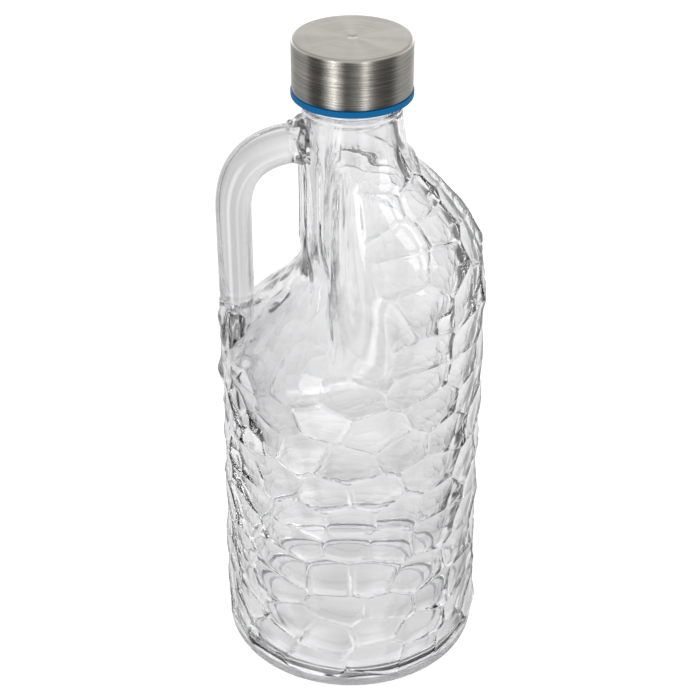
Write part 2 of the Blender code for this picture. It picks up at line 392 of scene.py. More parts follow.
def pressed(radius, z, theta, pressed_radius, drop):
    """radius with the side that faces the handle pressed in."""
    angle = handle_angle(theta)
    round_share = eased((SCOOP_EDGE_ANGLE - angle) / (SCOOP_EDGE_ANGLE - SCOOP_FLAT_ANGLE))
    up_share = eased((z + drop - SCOOP_FLOOR_Z) / (SCOOP_FULL_Z - SCOOP_FLOOR_Z))
    return radius - np.maximum(radius - pressed_radius, 0.0) * round_share * up_share


def hollow_floor(angle):
    """How high the facets reach on the side of the handle, by the angle from it in degrees."""
    return 0.1515 + 0.00025 * (angle - 50) + 0.0018 * np.clip(50 - angle, 0, 10)


def facet_share(z, theta):
    """1 where the facets are full, and 0 on the heel band, the neck and the smooth hollow."""
    angle = np.degrees(handle_angle(theta))
    wall = between(z, FACET_LOW_Z, 0.0012, FACET_TOP_Z, 0.0080)
    hollow_side = HOLLOW_SIDE_LOW - (HOLLOW_SIDE_LOW - HOLLOW_SIDE_HIGH) * eased((z - 0.1620) / 0.0600)
    hollow = eased((z - hollow_floor(angle)) / 0.0025) * eased((hollow_side - angle) / 7)
    return wall * (1 - hollow)


def facet_seeds():
    """One point in the middle of each facet: staggered rows round the jug, each shaken a little."""
    chance = np.random.default_rng(FACET_SEED)
    outline = resampled(wall_outline() + [(BODY_RADIUS, 0.0)], 0.0005)[::-1]
    run = np.concatenate([[0.0], np.cumsum(np.linalg.norm(np.diff(outline, axis=0), axis=1))])
    rows = round(run[-1] / FACET_ROW)
    seeds = []
    for row in range(rows + 1):
        at = run[-1] * row / rows
        radius = np.interp(at, run, outline[:, 0])
        count = max(6, round(2 * math.pi * radius / FACET_WIDTH))
        turn = chance.uniform(0, 1)
        for i in range(count):
            angle = 2 * math.pi * (i + turn + FACET_SHAKE * chance.uniform(-1, 1)) / count
            spot = np.clip(at + FACET_ROW * FACET_SHAKE * chance.uniform(-1, 1), 0.0, run[-1])
            seed_radius, seed_z = (np.interp(spot, run, outline[:, k]) for k in (0, 1))
            seeds.append((seed_radius, seed_z, angle))
    seeds = np.array(seeds)
    radius = pressed(seeds[:, 0], seeds[:, 1], seeds[:, 2], SCOOP_RADIUS, 0.0)
    return np.column_stack([radius * np.cos(seeds[:, 2]), radius * np.sin(seeds[:, 2]), seeds[:, 1]])


def nearest_seam(points, seeds):
    """For each point, its squared distance to its facet's middle, and the way and distance to the seam."""
    near = np.empty((len(points), 2))
    which = np.empty((len(points), 2), dtype=int)
    for start in range(0, len(points), 8000):
        part = points[start : start + 8000]
        gap = ((part[:, None, :] - seeds[None, :, :]) ** 2).sum(axis=2)
        pair = np.argpartition(gap, 1, axis=1)[:, :2]
        pair_gap = np.take_along_axis(gap, pair, axis=1)
        order = np.argsort(pair_gap, axis=1)
        near[start : start + 8000] = np.take_along_axis(pair_gap, order, axis=1)
        which[start : start + 8000] = np.take_along_axis(pair, order, axis=1)
    across = seeds[which[:, 1]] - seeds[which[:, 0]]
    apart = np.linalg.norm(across, axis=1)
    return near[:, 0], across / apart[:, None], (near[:, 1] - near[:, 0]) / (2 * apart)


def is_wall(outline):
    """Which points of the outside outline lie on the shoulder, the side or the heel band."""
    high, low = outline[:, 1] < NECK_START_Z, outline[:, 1] > HEEL_ROUNDING
    return high & low & (outline[:, 0] > NECK_RADIUS - 0.001)


def on_surface(outline, theta, z):
    """Points of the plain pressed outline at the given angles and heights, on its falling part."""
    radius = np.interp(z, outline[::-1, 1], outline[::-1, 0])
    radius = pressed(radius, z, theta, SCOOP_RADIUS, 0.0)
    return np.stack([radius * np.cos(theta), radius * np.sin(theta), z], axis=-1)


def facet_relief(near, to_seam, theta, z):
    """How far the glass stands above the bottoms of the bowls, from nearest_seam's distances."""
    height = FACET_BOWL * near + SEAM_HEIGHT * np.exp(-((to_seam / SEAM_WIDTH) ** 2))
    far = eased(0.25 + 1.1 * np.cos(theta - FAR_SIDE))
    shoulder = eased(0.2 + 1.1 * np.cos(theta)) * eased((z - 0.1600) / 0.0250)
    scale = (1 - (1 - FAR_SHARE) * far) * (1 + SHOULDER_DEEPER * shoulder)
    return FACET_DEPTH + (height - FACET_DEPTH) * scale


def snapped_grid(outline, steps):
    """A grid over the outside, with its points drawn towards the nearest seam between facets.

    Returns each point's angle, height and relief, and which points lie on a seam.
    """
    theta = np.broadcast_to(around(steps), (len(outline), steps)).copy()
    z = np.broadcast_to(outline[:, 1:2], theta.shape).copy()
    rows = np.where(is_wall(outline))[0]
    wall = outline[rows]
    stretch = np.array([1.0, 1.0, FACET_STRETCH])
    seeds = facet_seeds() * stretch
    part_theta, part_z = theta[rows], z[rows]
    points = on_surface(wall, part_theta, part_z).reshape(-1, 3) * stretch
    _, across, to_seam = nearest_seam(points, seeds)
    # Points nearer than reach[0] go on to the seam, and those up to reach[-1] spread over the gap they leave.
    reach = np.array([0.56, 1.56, 2.60]) * GLASS_SPACING
    drawn = np.interp(to_seam, reach, [0.40 * GLASS_SPACING, 0.95 * GLASS_SPACING, reach[-1]])
    on_seam = to_seam < reach[0]
    drawn[on_seam] = 0.0
    move = (to_seam < reach[-1]) & (facet_share(part_z, part_theta).ravel() > 0.02)
    points[move] += (across * (to_seam - drawn)[:, None])[move]
    points /= stretch
    shape = part_z.shape
    part_theta = np.where(move, np.arctan2(points[:, 1], points[:, 0]), part_theta.ravel()).reshape(shape)
    part_z = np.where(move, points[:, 2], part_z.ravel()).reshape(shape)
    part_z = np.clip(part_z, wall[-1, 1], wall[0, 1])
    theta[rows], z[rows] = part_theta, part_z
    near, _, to_seam = nearest_seam(on_surface(wall, part_theta, part_z).reshape(-1, 3) * stretch, seeds)
    relief = np.zeros(theta.shape)
    relief[rows] = facet_relief(near.reshape(shape), to_seam.reshape(shape), part_theta, part_z)
    edge = np.zeros(theta.shape, dtype=bool)
    edge[rows] = (move & on_seam).reshape(shape)
    return theta, z, relief, edge


def thread_height(z, theta):
    """How far the thread's ridge stands out of the finish."""
    height = np.zeros_like(z)
    whole = 2 * math.pi * GLASS_THREAD_TURNS
    for turn in range(-1, 3):
        turned_by = theta + 2 * math.pi * turn
        inside = (turned_by >= 0) & (turned_by <= whole)
        middle = GLASS_THREAD_START_Z + THREAD_LEAD * turned_by / (2 * math.pi)
        fade = eased(np.minimum(turned_by, whole - turned_by) / math.radians(50))
        across = np.clip(1 - ((z - middle) / GLASS_RIDGE) ** 2, 0.0, 1.0)
        height = np.where(inside, np.maximum(height, 0.97 * GLASS_RIDGE * np.sqrt(across) * fade), height)
    return height


def fold_height(radius, z, theta):
    """The folds that run down each flank of the hollow and swing away from the handle at the bottom."""
    angle = handle_angle(theta)
    height = np.zeros_like(z)
    for start, swing, swing_z, swing_drop, bottom_z in FOLDS:
        middle = np.radians(start + swing * eased((swing_z - z) / swing_drop))
        share = between(z, bottom_z, 0.0080, FOLD_TOP_Z, 0.0120)
        height += share * np.exp(-((radius * (angle - middle) / FOLD_WIDTH) ** 2))
    return FOLD_HEIGHT * height


def root_height(z, theta):
    """The uneven wall below the handle, the crease along the hollow's lower edge, and its waves.

    The lumps are laid out over a plain cylinder, so they don't depend on the wall's own shape.
    """
    angle = np.degrees(handle_angle(theta))
    place = np.stack([0.05 * np.cos(theta), 0.05 * np.sin(theta), z], axis=-1)
    below = eased((44 - angle) / 9) * between(z, 0.1020, 0.0180, 0.1740, 0.0060)
    close = eased((38 - angle) / 10) * between(z, 0.1400, 0.0080, 0.1810, 0.0060)
    lumpy = ROOT_LUMPS * below * lumps(place, 0.0130, 4) + ROOT_RUMPLES * close * lumps(place, 0.0065, 14)
    floor = hollow_floor(angle) + 0.0008 * lumps(place, 0.0180, 3)
    crease = np.exp(-(((z - floor) / 0.0009) ** 2)) * between(angle, 44, 6, 96, 10)
    hollow = eased((94 - angle) / 12) * between(z, floor, 0.0060, 0.2150, 0.0100)
    calm = 0.35 + 0.65 * eased((angle - 50) / 15)
    uneven = lumps(place, 0.0150, 8) + 0.25 * lumps(place, 0.0050, 9)
    waves = HOLLOW_WAVES * hollow * calm * (1 - below) * uneven
    streaky = between(angle, 62, 8, 108, 10) * between(z, 0.1900, 0.0100, 0.2360, 0.0080)
    upright = place * np.array([1.0, 1.0, 0.12])
    waves = waves + HOLLOW_STREAKS * streaky * lumps(upright, 0.0030, 12)
    return lumpy + HOLLOW_CREASE * crease + waves


def outside_rings():
    """The outside with all its relief, as rings of points, and which of the points lie on a seam."""
    outline = outer_outline()
    theta, z, relief, edge = snapped_grid(outline, GLASS_STEPS)
    radius = np.broadcast_to(outline[:, 0:1], theta.shape).copy()
    moved = np.abs(z - outline[:, 1:2]) > 1e-9
    wall = outline[is_wall(outline)][::-1]
    radius[moved] = np.interp(z[moved], wall[:, 1], wall[:, 0])
    radius = pressed(radius, z, theta, SCOOP_RADIUS, 0.0)
    share = facet_share(z, theta)
    depth = share * (FACET_DEPTH - relief) - fold_height(radius, z, theta) * (1 - share)
    depth -= np.where(z > BEAD_Z + 0.0020, thread_height(z, theta % (2 * math.pi)), 0.0)
    depth -= root_height(z, theta)
    for height, groove in NECK_LINES:
        depth += groove * np.exp(-(((z - height) / NECK_LINE_WIDTH) ** 2))
    normal = outline_normals(outline)
    out = radius - depth * normal[:, 0:1]
    up = z - depth * normal[:, 1:2]
    stands = (radius > STAND_INNER_RADIUS + 0.0002) & (radius < BODY_RADIUS - HEEL_ROUNDING - 0.0002)
    stands = stands & (z < 1e-5)
    odd = np.add.outer(np.arange(len(outline)), np.arange(GLASS_STEPS)) % 2
    up += STIPPLE * (stands & (odd == 1))
    return np.stack([out * np.cos(theta), out * np.sin(theta), up], axis=2), edge


def inside_rings():
    """The inside is smooth but for slow waves from blowing."""
    outline = inner_outline()
    theta = np.broadcast_to(around(CAVITY_STEPS), (len(outline), CAVITY_STEPS))
    z = np.broadcast_to(outline[:, 1:2], theta.shape)
    radius = np.broadcast_to(outline[:, 0:1], theta.shape)
    radius = pressed(radius, z, theta, SCOOP_RADIUS - GLASS_WALL, GLASS_WALL)
    share = between(z, 0.0150, 0.0200, 0.2450, 0.0200)
    waves = np.sin(3 * theta + 41 * z + 0.7) * np.sin(5 * theta - 97 * z)
    waves = waves + 0.6 * np.sin(9 * theta + 150 * z + 2.0)
    depth = INSIDE_WAVES * share * waves
    normal = outline_normals(outline)
    out = radius - depth * normal[:, 0:1]
    up = z - depth * normal[:, 1:2]
    return np.stack([out * np.cos(theta), out * np.sin(theta), up], axis=2)


def handle_path():
    """The middle of the handle from the neck down: points (distance out, height, radius)."""
    top, reach = HANDLE_TOP_Z, HANDLE_REACH
    # Each row is a point on the path, the pulls before and after it, and the thickness over the radius.
    rows = [
        ((0.0165, top), (0.0140, top), (0.0200, top), 1.45),
        ((0.0259, 0.2397), (0.0235, 0.2401), (0.0430, 0.2372), 1.10),
        ((reach, 0.2120), (reach, 0.2258), (reach, 0.2000), 1.0),
        ((reach, 0.1800), (reach, 0.1870), (reach, 0.1700), 1.0),
        ((0.0483, 0.1450), (0.0482, 0.1540), (0.0483, 0.1420), 0.85),
    ]
    path = []
    for (start, _, pull, size), (end, end_pull, _, end_size) in zip(rows[:-1], rows[1:]):
        share = eased(np.linspace(0, 1, 25))
        piece = np.array(bezier(start, pull, end_pull, end, 24))
        path.append(np.column_stack([piece, HANDLE_RADIUS * (size + (end_size - size) * share)])[:-1])
    path.append([[*rows[-1][0], HANDLE_RADIUS * rows[-1][3]]])
    return resampled(np.concatenate(path), HANDLE_SPACING)


def lumps(points, size, seed):
    """A smooth random field over points, about -1 to 1, with bumps about size apart."""
    chance = np.random.default_rng(seed)
    total = np.zeros(points.shape[:-1])
    for _ in range(10):
        way = chance.normal(size=3)
        way *= 2 * math.pi / (size * chance.uniform(0.8, 1.6) * np.linalg.norm(way))
        total += np.sin(points @ way + chance.uniform(0, 2 * math.pi))
    return total / 3


def handle_rod():
    """The solid handle: a smooth rod whose two feet are lumpy, with a crease where each foot begins."""
    path = handle_path()
    theta = around(HANDLE_STEPS)
    along = np.gradient(path[:, :2], axis=0)
    along /= np.linalg.norm(along, axis=1)[:, None]
    still = np.zeros(len(path))
    middle = np.column_stack([-path[:, 0], still, path[:, 1]])[:, None, :]
    outward = np.column_stack([along[:, 1], still, along[:, 0]])[:, None, :]
    sideways = np.array([0.0, 1.0, 0.0])
    unit = np.cos(theta)[:, None] * outward + HANDLE_WIDTH * np.sin(theta)[:, None] * sideways
    rings = middle + path[:, 2][:, None, None] * unit
    rings[:, :, 1] *= 1 + FOOT_SPREAD * eased((0.1730 - rings[:, :, 2]) / 0.0150)
    out, z = -rings[:, :, 0], rings[:, :, 2]
    into_top = FOOT_TOP_OUT + 0.5 * (z - HANDLE_TOP_Z) - out
    into_low = FOOT_LOW_Z + 0.42 * (out - HANDLE_REACH) - z
    into = np.where(z > 0.2, into_top, into_low)
    upper = FOOT_LUMPS * eased(into / 0.0015) * lumps(rings, 0.0055, 5)
    lower = FOOT_LUMPS * eased(into / 0.0030) * lumps(rings * np.array([1.0, 1.0, 0.5]), 0.0065, 5)
    crease = FOOT_CREASE * np.exp(-((into / FOOT_CREASE_WIDTH) ** 2))
    depth = crease - np.where(z > 0.2, upper, lower)
    rings -= depth[:, :, None] * unit
    ends = [np.array([-path[k, 0], 0.0, path[k, 1]]) for k in (0, -1)]
    return facing_out(grid_solid("handle_rod", rings, ends[0], ends[1]))


def build_glass(material):
    """The jug: the outside with the handle joined on, and the inside cut out."""
    rings, edge = outside_rings()
    jug = grid_solid("glass_jug_skin", rings, (0, 0, RIM_TOP_Z), (0, 0, PUSH_UP), edge)
    rings = inside_rings()
    cavity = grid_solid("cavity", rings, (0, 0, rings[0, 0, 2]), (0, 0, rings[-1, 0, 2]))
    combine(jug, handle_rod(), "UNION")
    combine(jug, cavity, "DIFFERENCE")
    finished(jug, "dimpled_glass", material, 50, "jug", "glass_jug")


# The cap.


def build_shell(material):
    """The deep-drawn steel cup, with a rounded edge at the bottom and a spinning mark in the middle."""
    inner = CAP_RADIUS - SHELL_THICKNESS
    under = CAP_TOP_Z - SHELL_THICKNESS
    lip = 0.5 * SHELL_THICKNESS
    edge = CAP_EDGE_ROUNDING
    outline = [
        (0.0, CAP_TOP_Z - 0.00012),
        (0.0002, CAP_TOP_Z - 0.00011),
        (0.0005, CAP_TOP_Z),
        *[(r, CAP_TOP_Z) for r in np.linspace(0.003, CAP_RADIUS - edge - 0.0008, 8)],
        *arc((CAP_RADIUS - edge, CAP_TOP_Z - edge), edge, 90, 0, 10),
        *[(CAP_RADIUS, z) for z in np.linspace(CAP_TOP_Z - edge - 0.0015, SHELL_BOTTOM_Z + 0.0015, 6)],
        *arc((CAP_RADIUS - lip, SHELL_BOTTOM_Z + lip), lip, 0, -180, 8),
        *arc((inner - 0.0007, under - 0.0007), 0.0007, 0, 90, 5),
        (0.0, under),
    ]
    shell = turned("steel", outline, CAP_STEPS)
    finished(shell, "steel_shell", material, 40, "cap", "cap_shell")


def liner_thread():
    """The liner's round-backed thread ridge, in step with the glass's, which fades out at both ends."""
    turns = LINER_THREAD_TURNS
    along = np.linspace(0, 1, round(turns * 72) + 1)
    above_start = LINER_THREAD_START_Z - GLASS_THREAD_START_Z - THREAD_OFFSET_Z
    start_angle = 2 * math.pi * above_start / THREAD_LEAD
    angle = start_angle + 2 * math.pi * turns * along
    height = LINER_THREAD_START_Z + THREAD_LEAD * turns * along
    size = LINER_RIDGE * (0.3 + 0.7 * eased(np.minimum(along, 1 - along) * turns * 6))
    theta = around(14)
    out = LINER_BORE_RADIUS + size[:, None] * np.cos(theta)
    up = height[:, None] + size[:, None] * np.sin(theta)
    rings = np.stack([out * np.cos(angle)[:, None], out * np.sin(angle)[:, None], up], axis=2)
    middle = np.column_stack([LINER_BORE_RADIUS * np.cos(angle), LINER_BORE_RADIUS * np.sin(angle), height])
    return facing_out(grid_solid("liner_thread", rings, middle[0], middle[-1]))


def build_liner(material):
    """The blue screw insert: a cup inside the steel one, a band under it, and the thread."""
    outer = CAP_RADIUS - SHELL_THICKNESS - FIT_GAP
    top = CAP_TOP_Z - SHELL_THICKNESS - FIT_GAP
    band_top = SHELL_BOTTOM_Z - FIT_GAP
    band_low = BAND_BOTTOM_Z + BAND_ROUNDING
    rounding = LINER_EDGE_ROUNDING
    outline = [
        (0.0, top),
        *arc((outer - rounding, top - rounding), rounding, 90, 0, 5),
        (outer, band_top),
        *arc((BAND_RADIUS - BAND_ROUNDING, band_top - BAND_ROUNDING), BAND_ROUNDING, 90, 0, 6),
        *arc((BAND_RADIUS - BAND_ROUNDING, band_low), BAND_ROUNDING, 0, -90, 6),
        *arc((LINER_BORE_RADIUS + BAND_ROUNDING, band_low), BAND_ROUNDING, -90, -180, 5),
        (LINER_BORE_RADIUS, top - LINER_TOP_THICKNESS),
        (0.0, top - LINER_TOP_THICKNESS),
    ]
    liner = turned("liner", outline, CAP_STEPS)
    combine(liner, liner_thread(), "UNION")
    finished(liner, "blue_liner", material, 40, "cap", "cap_liner")


def build_seal(material):
    """The flat sealing ring, with two fine grooves in its underside over the rim."""
    bottom, top = (corner.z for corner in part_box("cap_seal"))
    edge = 0.00025
    groove = [(0.0003 * math.cos(a), 0.0002 * math.sin(a)) for a in np.linspace(math.pi, 0, 5)]
    outline = [
        *arc((SEAL_HOLE_RADIUS + edge, top - edge), edge, 180, 90, 3),
        *arc((SEAL_RADIUS - edge, top - edge), edge, 90, 0, 3),
        *arc((SEAL_RADIUS - edge, bottom + edge), edge, 0, -90, 3),
        *[(middle - aside, bottom + up) for middle in SEAL_GROOVES for aside, up in groove],
        *arc((SEAL_HOLE_RADIUS + edge, bottom + edge), edge, -90, -180, 3),
    ]
    seal = turned("seal", outline, CAP_STEPS)
    finished(seal, "sealing_ring", material, 50, "seal", "cap_seal")


# Materials. Colours are (red, green, blue, opacity); a pair of them is what a noise runs between.

GLASS_CLEAR = ((0.966, 0.966, 0.973, 1.0), (0.990, 0.990, 0.996, 1.0))
GLASS_PAINTED_SHADE = (0.720, 0.720, 0.730, 1.0)  # painted shade: a greyer tone towards the handle
PAINTED_SHADE_X = (-0.012, -0.043)  # where that tone starts, and where it is full
PAINTED_SHADE_Z = (0.118, 0.145)
GLASS_PAINTED_HEEL_SHADE = (0.270, 0.270, 0.280, 1.0)  # painted shade: the plain heel band darkened to a dark grey
HEEL_SHADE_OUT = (0.0510, 0.0525)  # where that painted shade starts, and where it is full
HEEL_SHADE_Z = (0.0056, 0.0050)
# The steel's tones: they follow its grain on the side, and carry painted sheen in radial sectors on the top.
STEEL_TONES = ((0.42, 0.403, 0.367, 1.0), (0.66, 0.634, 0.575, 1.0))
BLUE_TONES = ((0.0, 0.108, 0.285, 1.0), (0.001, 0.132, 0.335, 1.0))
SILICONE_TONES = ((0.74, 0.74, 0.72, 1.0), (0.86, 0.86, 0.84, 1.0))


def new_material(name):
    made = bpy.data.materials.new(name)
    made.use_nodes = True
    tree = made.node_tree
    return made, tree, tree.nodes["Principled BSDF"]


def fed(tree, made, **sources):
    """Sets a node's named inputs (a space is written _) to plain values or to other nodes' outputs."""
    for name, source in sources.items():
        feed(tree, made.inputs[name.replace("_", " ")], source)
    return made


def feed(tree, socket, source):
    if isinstance(source, bpy.types.NodeSocket):
        tree.links.new(source, socket)
    else:
        socket.default_value = source


def node(tree, kind, **sources):
    return fed(tree, tree.nodes.new(kind), **sources)


def calculated(tree, kind, operation, *sources):
    """The outputs of a maths node whose inputs are fed in order."""
    made = tree.nodes.new(kind)
    made.operation = operation
    for socket, source in zip(made.inputs, sources):
        feed(tree, socket, source)
    return made.outputs


def combined(tree, operation, *sources):
    return calculated(tree, "ShaderNodeMath", operation, *sources)[0]


def mixed(tree, share, first, second, kind="FLOAT"):
    """A mix of two values, or of two colours where kind is RGBA."""
    made = tree.nodes.new("ShaderNodeMix")
    made.data_type = kind
    return fed(tree, made, Factor=share, A=first, B=second).outputs["Result"]


def noise(tree, vector, scale, detail, roughness=0.5):
    made = node(tree, "ShaderNodeTexNoise", Vector=vector, Scale=scale, Detail=detail, Roughness=roughness)
    return made.outputs["Fac"]


def ranged(tree, value, low, high, to_low=0.0, to_high=1.0):
    """value, taken from the range low to high into the range to_low to to_high."""
    made = node(tree, "ShaderNodeMapRange", Value=value, From_Min=low, From_Max=high)
    return fed(tree, made, To_Min=to_low, To_Max=to_high).outputs["Result"]


def ramp(tree, value, half_range, stops):
    """Brightness read off stops by an angle in degrees, from -half_range to half_range."""
    made = node(tree, "ShaderNodeValToRGB", Fac=ranged(tree, value, -half_range, half_range))
    made.color_ramp.interpolation = "LINEAR"
    elements = made.color_ramp.elements
    while len(elements) < len(stops):
        elements.new(0.5)
    for stop, (degrees, brightness) in zip(elements, stops):
        stop.position = (degrees + half_range) / (2 * half_range)
        stop.color = (brightness, brightness, brightness, 1)
    return made.outputs["Color"]


def bump(tree, height, distance, **under):
    """A bumped normal, over another one if Normal is given."""
    made = node(tree, "ShaderNodeBump", Height=height, Distance=distance, Strength=1.0, **under)
    return made.outputs["Normal"]


def object_place(tree):
    return tree.nodes.new("ShaderNodeTexCoord").outputs["Object"]


def parts_of(tree, vector):
    """A vector's X, Y and Z."""
    return node(tree, "ShaderNodeSeparateXYZ", Vector=vector).outputs


def from_axis(tree, place):
    """A place with its height taken off, and how far it is from the Z axis."""
    flat = calculated(tree, "ShaderNodeVectorMath", "MULTIPLY", place, (1.0, 1.0, 0.0))["Vector"]
    return flat, calculated(tree, "ShaderNodeVectorMath", "LENGTH", flat)["Value"]


def glass_material():
    """Clear glass with the faint swirl and orange peel of a hot mould, and painted shade: greyer towards the
    handle and dark on the heel band.
    """
    made, tree, shader = new_material("clear_glass")
    place = object_place(tree)
    swirl = noise(tree, place, 70.0, 2.0)
    peel = noise(tree, place, 420.0, 3.0)
    normal = bump(tree, peel, 0.000012, Normal=bump(tree, swirl, 0.00006))
    x, _, z = parts_of(tree, place)
    out = from_axis(tree, place)[1]
    # Painted shade: the glass's colour is greyed towards the handle, from a middle height up.
    painted_shade = combined(tree, "MULTIPLY", ranged(tree, x, *PAINTED_SHADE_X), ranged(tree, z, *PAINTED_SHADE_Z))
    # Painted shade: the plain band round the heel is darkened to a dark grey.
    heel_shade = combined(tree, "MULTIPLY", ranged(tree, out, *HEEL_SHADE_OUT), ranged(tree, z, *HEEL_SHADE_Z))
    tone = mixed(tree, swirl, *GLASS_CLEAR, "RGBA")
    tone = mixed(tree, painted_shade, tone, GLASS_PAINTED_SHADE, "RGBA")
    tone = mixed(tree, heel_shade, tone, GLASS_PAINTED_HEEL_SHADE, "RGBA")
    fed(tree, shader, Base_Color=tone, Normal=normal, Roughness=0.0, IOR=1.5, Transmission_Weight=1.0)
    fed(tree, shader, Coat_Weight=1.0, Coat_Roughness=0.0, Coat_Normal=normal)
    return made


def grain_place(tree):
    """Where a point of the cap lies: from the axis, across the grain, and the X and Y of the way round.

    The grain runs round the cap, on the side and the top alike.
    """
    place = object_place(tree)
    flat, out = from_axis(tree, place)
    across = combined(tree, "SUBTRACT", out, parts_of(tree, place)["Z"])
    round_unit = calculated(tree, "ShaderNodeVectorMath", "NORMALIZE", flat)["Vector"]
    round_x, round_y, _ = parts_of(tree, round_unit)
    return out, across, round_x, round_y


def steel_material():
    """Steel brushed round the cap: fine grooves, a spread highlight across them, faint smudges, and painted
    sheen in radial sectors on the top.
    """
    made, tree, shader = new_material("brushed_steel")
    out, across, round_x, round_y = grain_place(tree)

    def grooves(per_metre, slow, detail):
        """Noise that changes fast across the grain, and slowly along it."""
        fast = combined(tree, "MULTIPLY", across, per_metre)
        slow_x, slow_y = (combined(tree, "MULTIPLY", source, slow) for source in (round_x, round_y))
        joined = node(tree, "ShaderNodeCombineXYZ", X=fast, Y=slow_x, Z=slow_y)
        return noise(tree, joined.outputs[0], 1.0, detail, 0.65)

    fine = grooves(2300.0, 1.2, 2.0)
    coarse = grooves(1100.0, 0.5, 1.0)
    broken = grooves(3000.0, 80.0, 2.0)
    smudge = noise(tree, object_place(tree), 90.0, 3.0)
    side = ranged(tree, out, CAP_RADIUS - 0.0011, CAP_RADIUS - 0.0001, 0.12, 1.0)
    round_about = node(tree, "ShaderNodeCombineXYZ", X=round_x, Y=round_y).outputs[0]
    # Painted sheen: the top's colour is lighter and darker in radial sectors, as a spun finish catches the
    # light; the side's colour follows the grain.
    painted_sheen_sectors = ranged(tree, noise(tree, round_about, 1.7, 1.0), 0.30, 0.70, 0.22, 0.62)
    grain_and_painted_sheen = mixed(tree, side, painted_sheen_sectors, ranged(tree, fine, 0.36, 0.64))
    normal = bump(tree, coarse, 0.00001, Normal=bump(tree, smudge, 0.00002))
    normal = bump(tree, combined(tree, "MULTIPLY", broken, side), 0.000022, Normal=normal)
    normal = bump(tree, combined(tree, "MULTIPLY", fine, side), 0.000004, Normal=normal)
    tangent = tree.nodes.new("ShaderNodeTangent")
    tangent.direction_type = "RADIAL"
    tangent.axis = "Z"
    fed(
        tree,
        shader,
        Base_Color=mixed(tree, grain_and_painted_sheen, *STEEL_TONES, "RGBA"),
        Roughness=ranged(tree, coarse, 0.3, 0.7, 0.19, 0.26),
        Metallic=1.0,
        Anisotropic=1.0,
        Anisotropic_Rotation=0.25,
        Tangent=tangent.outputs[0],
        Normal=normal,
    )
    return made


def plastic_material():
    """Satin moulded plastic, a little uneven in gloss."""
    made, tree, shader = new_material("blue_plastic")
    cloudy = noise(tree, object_place(tree), 160.0, 3.0)
    pores = noise(tree, object_place(tree), 2600.0, 2.0)
    fed(
        tree,
        shader,
        Base_Color=mixed(tree, cloudy, *BLUE_TONES, "RGBA"),
        Roughness=ranged(tree, cloudy, 0.3, 0.7, 0.34, 0.48),
        Specular_IOR_Level=0.12,
        Normal=bump(tree, pores, 0.00001),
    )
    return made


def silicone_material():
    """Cloudy silicone rubber."""
    made, tree, shader = new_material("clear_silicone")
    cloudy = noise(tree, object_place(tree), 220.0, 3.0)
    fed(
        tree,
        shader,
        Base_Color=mixed(tree, cloudy, *SILICONE_TONES, "RGBA"),
        Roughness=0.55,
        Subsurface_Weight=0.35,
        Subsurface_Radius=(0.002, 0.002, 0.002),
        Subsurface_Scale=1.0,
        Normal=bump(tree, cloudy, 0.00003),
    )
    return made


# Floor, light and camera.

CAMERA_FOCAL = 83.04  # millimetres, on a sensor 36 mm wide
CAMERA_DISTANCE = 0.57730
CAMERA_HEIGHT = 0.51100
CAMERA_PITCH = math.radians(32.635)
CAMERA_TURN = math.radians(-10)  # the handle points this much towards the camera
CAMERA_YAW = math.radians(0.062)
CAMERA_ROLL = math.radians(0.15)
FLOOR_RADIUS = 1.2
FLOOR_GLOW = 0.93
ALL_BOUNCES = 48
GLASS_BOUNCES = 40  # the thick base and the handle lose light with fewer


def build_camera():
    data = bpy.data.cameras.new("camera")
    data.lens = CAMERA_FOCAL
    data.sensor_width = 36.0
    data.clip_start = 0.01
    camera = bpy.data.objects.new("camera", data)
    bpy.context.scene.collection.objects.link(camera)
    camera.location = (
        CAMERA_DISTANCE * math.sin(CAMERA_TURN),
        -CAMERA_DISTANCE * math.cos(CAMERA_TURN),
        CAMERA_HEIGHT,
    )
    turn = Matrix.Rotation(CAMERA_TURN + CAMERA_YAW, 3, "Z")
    tilt = Matrix.Rotation(math.pi / 2 - CAMERA_PITCH, 3, "X")
    camera.rotation_euler = (turn @ tilt @ Matrix.Rotation(CAMERA_ROLL, 3, "Z")).to_euler()
    bpy.context.scene.camera = camera


def build_floor():
    """A plain white table top, lit evenly; glass and steel see the studio past it."""
    mesh = bpy.data.meshes.new("floor")
    work = bmesh.new()
    bmesh.ops.create_circle(work, cap_ends=True, segments=96, radius=FLOOR_RADIUS)
    work.to_mesh(mesh)
    work.free()
    floor = bpy.data.objects.new("floor", mesh)
    bpy.context.scene.collection.objects.link(floor)
    floor.location = (0, 0, -0.0002)
    floor.visible_glossy = False
    floor.visible_transmission = False
    made, tree, shader = new_material("floor")
    fed(tree, shader, Base_Color=(0.25, 0.25, 0.25, 1.0), Roughness=0.9)
    fed(tree, shader, Emission_Color=(1.0, 1.0, 1.0, 1.0), Emission_Strength=FLOOR_GLOW)
    mesh.materials.append(made)


BACKDROP_BRIGHTNESS = 1.0
DIFFUSE_BRIGHTNESS = 0.8

# The studio's stops: (degrees, value). Degrees run round from the camera, positive to its right, or up from
# the horizon. This is what the steel sees round the horizon.
STEEL_PANELS = [
    (-180, 0.58), (-150, 0.50), (-135, 0.33), (-94, 0.31), (-85, 0.10), (-76, 0.05), (-60, 0.06),
    (-52, 0.22), (-44, 0.62), (-37, 1.05), (-33, 1.75), (-29, 0.50), (-22, 0.46), (-17, 0.10),
    (-8, 0.08), (2, 0.15), (12, 0.24), (18, 0.40), (23, 1.05), (28, 0.62), (34, 0.28), (45, 0.10),
    (58, 0.06), (74, 0.05), (83, 0.10), (93, 0.29), (104, 0.35), (134, 0.38), (155, 0.56), (180, 0.58),
]
